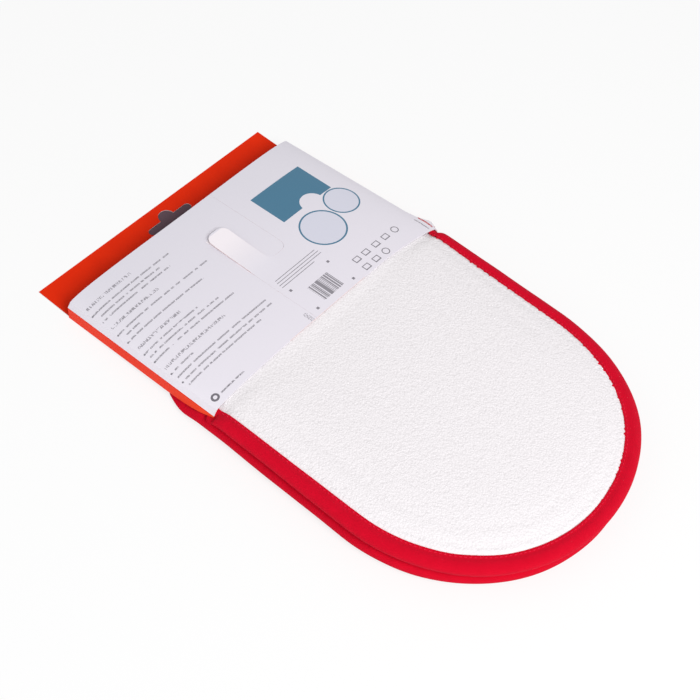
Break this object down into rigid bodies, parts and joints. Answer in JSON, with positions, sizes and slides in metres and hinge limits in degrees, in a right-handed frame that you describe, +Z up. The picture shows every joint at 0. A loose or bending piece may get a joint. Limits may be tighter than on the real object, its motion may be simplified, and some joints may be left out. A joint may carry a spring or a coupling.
{
  "type": "double oven glove",
  "caption": "Padded oven glove: a quilted band with a hand pocket at each end, white terry with bound edges, folded in half and held in a card hanging sleeve.",
  "frame": {"origin": "on the table, under the middle of the whole pack", "axes": "+X from the card's header to the round ends of the gloves, +Z up from the table, Y across the width"},
  "size_m": [0.305, 0.181, 0.0225],
  "materials": {
    "orange_card": "smooth coated card, printed orange-red",
    "orange_card_edge": "smooth coated card, printed lighter orange-red on the side walls",
    "white_card": "smooth coated white card with grey print",
    "white_terry": "short looped cotton terry",
    "red_binding": "woven cotton bias tape",
    "red_thread": "sewing thread",
    "red_cotton": "plain woven cotton",
    "white_cotton": "plain woven cotton lining",
    "wadding": "soft needled wadding",
    "barrier_film": "thin film that stops steam"
  },
  "bodies": {
    "sleeve": {"sleeve_front_panel": "orange_card", "sleeve_left_wall": "orange_card_edge", "sleeve_right_wall": "orange_card_edge"},
    "left_flap": {"sleeve_left_back_flap": "white_card"},
    "right_flap": {"sleeve_right_back_flap": "white_card"},
    "glove": {"band_cover": "red_cotton", "band_wadding": "wadding", "band_lining": "red_cotton", "hanging_loop": "red_binding", "lower_mouth_hem": "white_terry", "upper_mouth_hem": "white_terry", "lower_palm_terry": "white_terry", "lower_palm_wadding": "wadding", "lower_palm_lining": "white_cotton", "lower_pocket_lining": "white_cotton", "lower_inner_wadding": "wadding", "lower_steam_barrier": "barrier_film", "lower_outer_wadding": "wadding", "lower_pocket_terry": "white_terry", "lower_edge_binding": "red_binding", "lower_edge_stitching": "red_thread"},
    "upper_glove": {"upper_palm_terry": "white_terry", "upper_palm_wadding": "wadding", "upper_palm_lining": "white_cotton", "upper_pocket_lining": "white_cotton", "upper_inner_wadding": "wadding", "upper_steam_barrier": "barrier_film", "upper_outer_wadding": "wadding", "upper_pocket_terry": "white_terry", "upper_edge_binding": "red_binding", "upper_edge_stitching": "red_thread"}
  },
  "joints": [
    {"name": "glove_slide", "type": "slide", "parent": "sleeve", "child": "glove", "axis": [0.9983, 0, 0.0583], "range_m": [0, 0.1]},
    {"name": "right_flap_fold", "type": "hinge", "parent": "sleeve", "child": "right_flap", "pos_m": [-0.12945, 0.0865, 0.00759], "axis": [-0.9983, 0, -0.0583], "range_deg": [0, 150]},
    {"name": "left_flap_fold", "type": "hinge", "parent": "sleeve", "child": "left_flap", "pos_m": [-0.12945, -0.0865, 0.00759], "axis": [0.9983, 0, 0.0583], "range_deg": [0, 75]},
    {"name": "upper_glove_lift", "type": "hinge", "parent": "glove", "child": "upper_glove", "pos_m": [-0.02439, 0, 0.02085], "axis": [0, -1, 0], "range_deg": [0, 90]}
  ],
  "couplings": [
    {"joint": "left_flap_fold", "follows": "right_flap_fold", "ratio": 0.5}
  ]
}
